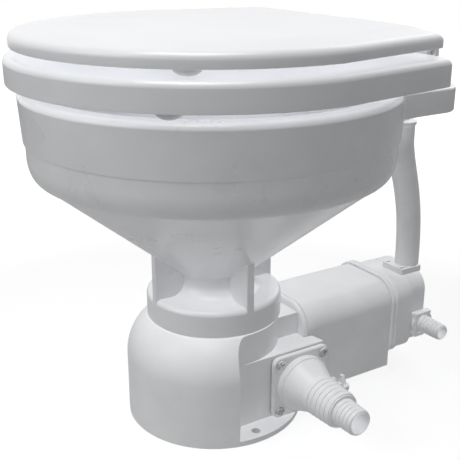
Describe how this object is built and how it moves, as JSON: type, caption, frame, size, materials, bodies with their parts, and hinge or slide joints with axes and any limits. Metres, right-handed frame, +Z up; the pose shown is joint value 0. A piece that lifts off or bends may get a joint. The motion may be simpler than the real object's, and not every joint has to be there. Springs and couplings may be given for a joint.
{
  "type": "marine toilet",
  "caption": "Compact electric marine toilet: a china bowl on a moulded base with a macerator, a motor and a rinse pump behind it, under a hinged seat and lid.",
  "frame": {"origin": "on the floor at the middle of the round base, straight below the bowl's outlet", "axes": "+X to the side of the discharge port, +Y to the rear, where the motor and the pump lie, +Z up"},
  "size_m": [0.3742, 0.4557, 0.3946],
  "materials": {
    "white_plastic": "white moulded plastic, satin",
    "china": "white glazed vitreous china",
    "enamel": "white enamelled board",
    "rubber": "black rubber",
    "pale_rubber": "pale grey rubber",
    "vinyl": "white flexible hose",
    "stainless": "stainless steel",
    "dark_steel": "dark coated steel",
    "lamination": "stacked steel sheet",
    "magnet_black": "dark sintered magnet",
    "copper": "copper",
    "carbon": "carbon"
  },
  "bodies": {
    "base": {"base_housing": "white_plastic", "macerator_housing": "white_plastic", "discharge_port": "white_plastic", "motor_flange": "white_plastic", "motor_cover": "white_plastic", "brush_card": "white_plastic", "pump_flange": "white_plastic", "pump_body": "white_plastic", "pump_end_cover": "white_plastic", "intake_port": "white_plastic", "outlet_fitting": "white_plastic", "inlet_spigot": "white_plastic", "hinge_post_1": "white_plastic", "hinge_post_2": "white_plastic", "bowl": "china", "cable_gland": "rubber", "shaft_seal_front": "rubber", "shaft_seal_rear": "rubber", "bowl_gasket": "pale_rubber", "discharge_gasket": "pale_rubber", "joker_valve": "pale_rubber", "rinse_hose": "vinyl", "bowl_bolt_1": "stainless", "bowl_bolt_2": "stainless", "bowl_bolt_3": "stainless", "bowl_bolt_4": "stainless", "chopper_plate": "stainless", "discharge_screw_1": "stainless", "discharge_screw_2": "stainless", "discharge_screw_3": "stainless", "discharge_screw_4": "stainless", "bearing_front": "stainless", "bearing_rear": "stainless", "pump_screw_1": "stainless", "pump_screw_2": "stainless", "pump_screw_3": "stainless", "pump_screw_4": "stainless", "hinge_nut_1": "stainless", "hinge_nut_2": "stainless", "hinge_rod": "stainless", "motor_can": "dark_steel", "motor_end_bell": "dark_steel", "magnet_ring": "magnet_black", "motor_brush_1": "carbon", "motor_brush_2": "carbon"},
    "seat": {"seat": "enamel", "seat_hinge": "white_plastic", "seat_bumper_1": "pale_rubber", "seat_bumper_2": "pale_rubber"},
    "lid": {"lid": "enamel", "lid_hinge": "white_plastic", "lid_bumper_1": "pale_rubber", "lid_bumper_2": "pale_rubber"},
    "rotor": {"motor_shaft": "stainless", "macerator_blade": "stainless", "waste_impeller": "white_plastic", "rinse_impeller": "rubber", "armature": "lamination", "armature_windings": "copper", "commutator": "copper"}
  },
  "joints": [
    {"name": "seat_pivot", "type": "hinge", "parent": "base", "child": "seat", "pos_m": [0, 0.152, 0.371], "axis": [-1, 0, 0], "range_deg": [0, 95]},
    {"name": "lid_pivot", "type": "hinge", "parent": "seat", "child": "lid", "pos_m": [0, 0.152, 0.371], "axis": [-1, 0, 0], "range_deg": [0, 95]},
    {"name": "rotor_spin", "type": "hinge", "parent": "base", "child": "rotor", "pos_m": [0, 0, 0.055], "axis": [0, 1, 0], "continuous": true}
  ]
}
